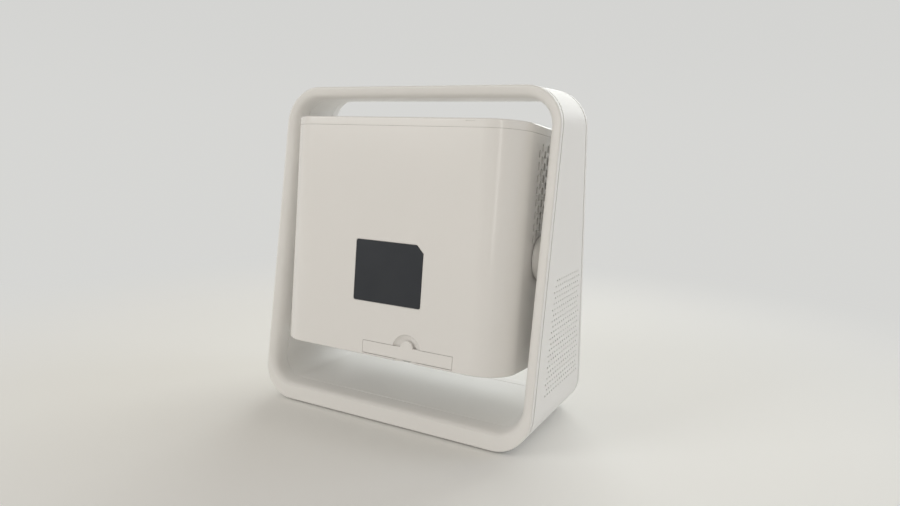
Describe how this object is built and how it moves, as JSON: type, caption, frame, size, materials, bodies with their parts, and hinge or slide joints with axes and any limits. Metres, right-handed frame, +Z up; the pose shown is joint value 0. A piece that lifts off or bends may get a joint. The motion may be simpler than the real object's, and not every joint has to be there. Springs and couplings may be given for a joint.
{
  "type": "smart projector",
  "caption": "Tabletop projector: a rounded column with a front lens tilts on side pivots inside a closed loop stand with speaker grilles in its legs.",
  "frame": {"origin": "on the floor under the middle of the object's box, at the underside of the rubber feet", "axes": "+Z up, the lens looks towards -Y, the pivot axis runs along X"},
  "size_m": [0.216, 0.1137, 0.2312],
  "materials": {
    "loop_plastic": "satin white",
    "shell_plastic": "satin warm white",
    "underside_plastic": "fine texture, pale grey",
    "plate_film": "satin dark film",
    "rubber": "matt",
    "dark_plastic": "satin black",
    "steel": "brushed",
    "aluminium": "satin",
    "lens_glass": "coated, clear",
    "circuit_board": "solder mask",
    "foam": "open foam"
  },
  "bodies": {
    "stand": {"outer_band": "loop_plastic", "rear_rim": "loop_plastic", "front_rim": "loop_plastic", "inner_liner": "loop_plastic", "speaker_left": "dark_plastic", "speaker_right": "dark_plastic", "foot_front_left": "rubber", "foot_rear_left": "rubber", "foot_front_right": "rubber", "foot_rear_right": "rubber", "pivot_boss_left": "loop_plastic", "pivot_boss_right": "loop_plastic", "pivot_shaft_left": "steel", "pivot_shaft_right": "steel", "friction_washer_left": "dark_plastic", "friction_washer_right": "dark_plastic", "pivot_nut_left": "steel", "pivot_nut_right": "steel"},
    "column": {"rear_shell": "shell_plastic", "front_shell": "shell_plastic", "top_cover": "shell_plastic", "bottom_cover": "underside_plastic", "rating_plate": "plate_film", "dust_filter": "foam", "pivot_bush_left": "underside_plastic", "pivot_bush_right": "underside_plastic", "lens_trim": "dark_plastic", "lens_housing": "dark_plastic", "focus_motor": "steel", "sensor_window": "dark_plastic", "engine_housing": "dark_plastic", "engine_cover": "dark_plastic", "condenser_lens": "lens_glass", "lcd_panel": "dark_plastic", "fresnel_lens": "lens_glass", "fold_mirror": "aluminium", "led_module": "aluminium", "heat_sink": "aluminium", "fan_frame_left": "dark_plastic", "fan_frame_right": "dark_plastic", "main_board": "circuit_board", "power_board": "circuit_board", "hdmi_socket": "steel", "usb_socket": "steel", "audio_jack": "dark_plastic", "mains_inlet": "dark_plastic", "screw_front_left": "steel", "screw_rear_left": "steel", "screw_front_right": "steel", "screw_rear_right": "steel"},
    "lens_group": {"lens_barrel": "dark_plastic", "front_lens": "lens_glass", "rear_lens": "lens_glass"},
    "hatch": {"filter_hatch": "shell_plastic"},
    "power_button": {"power_button": "underside_plastic"},
    "left_rotor": {"fan_rotor_left": "dark_plastic"},
    "right_rotor": {"fan_rotor_right": "dark_plastic"}
  },
  "joints": [
    {"name": "column_tilt", "type": "hinge", "parent": "stand", "child": "column", "pos_m": [0, 0, 0.1199], "axis": [-1, 0, 0], "range_deg": [-45, 95]},
    {"name": "hatch_open", "type": "hinge", "parent": "column", "child": "hatch", "pos_m": [-0.0213, 0.05532, 0.05235], "axis": [-1, 0, 0], "range_deg": [0, 90]},
    {"name": "button_press", "type": "slide", "parent": "column", "child": "power_button", "axis": [0, 0.0889, -0.996], "range_m": [0, 0.001], "stiffness_N_per_m": 1500},
    {"name": "focus", "type": "slide", "parent": "column", "child": "lens_group", "axis": [0, -0.996, -0.0889], "range_m": [-0.002, 0.002]},
    {"name": "left_fan_spin", "type": "hinge", "parent": "column", "child": "left_rotor", "pos_m": [-0.08, -0.00372, 0.16162], "axis": [1, 0, 0], "continuous": true},
    {"name": "right_fan_spin", "type": "hinge", "parent": "column", "child": "right_rotor", "pos_m": [0.08, -0.00372, 0.16162], "axis": [1, 0, 0], "continuous": true}
  ]
}
